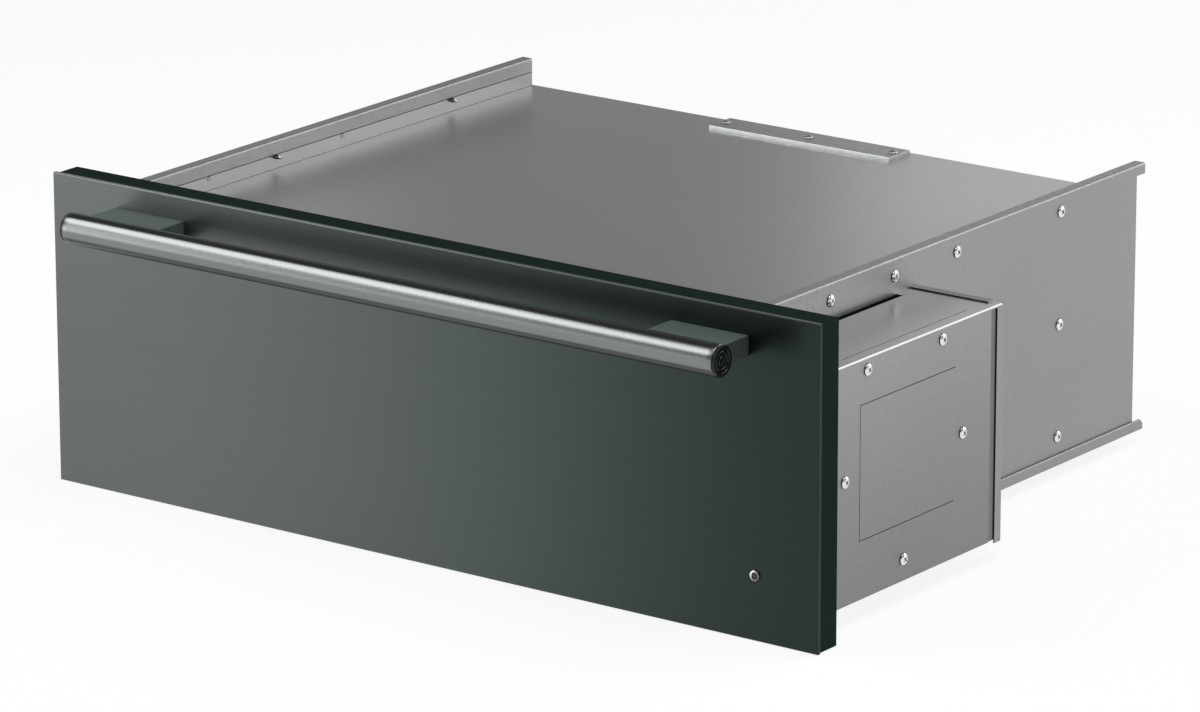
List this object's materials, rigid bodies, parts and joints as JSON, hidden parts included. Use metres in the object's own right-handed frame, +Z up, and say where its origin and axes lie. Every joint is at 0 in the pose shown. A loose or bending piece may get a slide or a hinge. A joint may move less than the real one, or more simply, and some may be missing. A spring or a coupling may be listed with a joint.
{
  "type": "built-in warming drawer",
  "caption": "Built-in warming drawer: a wide metal drawer front with a round bar handle and a small light, in front of a sheet-steel housing with a control box on one side",
  "frame": {"origin": "middle of the cabinet opening, in the plane of the cabinet's face (the back face of the front frame)", "axes": "+X to the viewer's right, +Y into the cabinet, +Z up; the drawer opens towards -Y"},
  "size_m": [0.7556, 0.6723, 0.2604],
  "materials": {
    "panel_skin": "dark brushed, satin clear coat",
    "panel_body": "dark green-black, satin",
    "housing_sheet": "plain mill-finish sheet",
    "bright_steel": "aluminised, soft sheen",
    "handle_steel": "brushed along the bar",
    "post_steel": "dark brushed, satin",
    "cap_black": "gloss black",
    "screw_chrome": "bright",
    "zinc_steel": "zinc plated",
    "rack_chrome": "bright wire",
    "mineral_wool": "matt felt",
    "gasket_rubber": "matt silicone",
    "element_sheath": "heat-darkened",
    "probe_steel": "polished tube",
    "thermostat_black": "moulded",
    "board_green": "solder mask",
    "board_parts": "moulded",
    "standoff_white": "nylon",
    "keypad_film": "satin film",
    "lamp_clear": "frosted",
    "lens_clear": "frosted light guide",
    "bezel_chrome": "bright ring",
    "inlet_black": "moulded",
    "terminal_white": "moulded",
    "wire_sleeve": "sleeved wires"
  },
  "bodies": {
    "housing": {"base_tray": "housing_sheet", "side_wall_left": "housing_sheet", "side_wall_right": "housing_sheet", "top_plate": "housing_sheet", "rear_bulkhead": "zinc_steel", "back_panel": "housing_sheet", "front_frame": "zinc_steel", "cavity_liner": "bright_steel", "insulation_left": "mineral_wool", "insulation_right": "mineral_wool", "insulation_floor": "mineral_wool", "insulation_top": "mineral_wool", "insulation_back": "mineral_wool", "wall_screws_left": "screw_chrome", "wall_screws_right": "screw_chrome", "anti_tip_bracket": "housing_sheet", "anti_tip_screws": "screw_chrome", "heating_element": "element_sheath", "element_clips": "zinc_steel", "temperature_probe": "probe_steel", "thermal_cutout": "thermostat_black", "control_box_shell": "housing_sheet", "control_box_cover": "housing_sheet", "control_box_rear_cap": "housing_sheet", "control_cover_screws": "screw_chrome", "control_board": "board_green", "board_parts": "board_parts", "board_standoffs": "standoff_white", "keypad": "keypad_film", "indicator_lamp": "lamp_clear", "power_inlet": "inlet_black", "terminal_block": "terminal_white", "wiring_harness": "wire_sleeve", "slide_rail_left": "zinc_steel", "slide_rail_right": "zinc_steel"},
    "drawer": {"front_skin": "panel_skin", "front_body": "panel_body", "front_insulation": "mineral_wool", "front_back_plate": "zinc_steel", "drawer_gasket": "gasket_rubber", "handle_bar": "handle_steel", "handle_post_left": "post_steel", "handle_post_right": "post_steel", "handle_cap_left": "cap_black", "handle_cap_right": "cap_black", "handle_bolts": "zinc_steel", "indicator_bezel": "bezel_chrome", "indicator_lens": "lens_clear", "drawer_tub": "bright_steel", "runner_screws": "zinc_steel", "tub_screws": "screw_chrome", "wire_rack": "rack_chrome", "slide_runner_left": "zinc_steel", "slide_runner_right": "zinc_steel"},
    "slide_middle_left": {"slide_middle_left": "zinc_steel"},
    "outer_ball_cage_left": {"outer_ball_cage_left": "zinc_steel"},
    "inner_ball_cage_left": {"inner_ball_cage_left": "zinc_steel"},
    "slide_middle_right": {"slide_middle_right": "zinc_steel"},
    "outer_ball_cage_right": {"outer_ball_cage_right": "zinc_steel"},
    "inner_ball_cage_right": {"inner_ball_cage_right": "zinc_steel"}
  },
  "joints": [
    {"name": "drawer_slide", "type": "slide", "parent": "housing", "child": "drawer", "axis": [0, -1, 0], "range_m": [0, 0.4]},
    {"name": "slide_middle_left_slide", "type": "slide", "parent": "housing", "child": "slide_middle_left", "axis": [0, -1, 0], "range_m": [0, 0.2]},
    {"name": "outer_ball_cage_left_slide", "type": "slide", "parent": "housing", "child": "outer_ball_cage_left", "axis": [0, -1, 0], "range_m": [0, 0.1]},
    {"name": "inner_ball_cage_left_slide", "type": "slide", "parent": "housing", "child": "inner_ball_cage_left", "axis": [0, -1, 0], "range_m": [0, 0.3]},
    {"name": "slide_middle_right_slide", "type": "slide", "parent": "housing", "child": "slide_middle_right", "axis": [0, -1, 0], "range_m": [0, 0.2]},
    {"name": "outer_ball_cage_right_slide", "type": "slide", "parent": "housing", "child": "outer_ball_cage_right", "axis": [0, -1, 0], "range_m": [0, 0.1]},
    {"name": "inner_ball_cage_right_slide", "type": "slide", "parent": "housing", "child": "inner_ball_cage_right", "axis": [0, -1, 0], "range_m": [0, 0.3]}
  ],
  "couplings": [
    {"joint": "slide_middle_left_slide", "follows": "drawer_slide", "ratio": 0.5},
    {"joint": "outer_ball_cage_left_slide", "follows": "drawer_slide", "ratio": 0.25},
    {"joint": "inner_ball_cage_left_slide", "follows": "drawer_slide", "ratio": 0.75},
    {"joint": "slide_middle_right_slide", "follows": "drawer_slide", "ratio": 0.5},
    {"joint": "outer_ball_cage_right_slide", "follows": "drawer_slide", "ratio": 0.25},
    {"joint": "inner_ball_cage_right_slide", "follows": "drawer_slide", "ratio": 0.75}
  ]
}
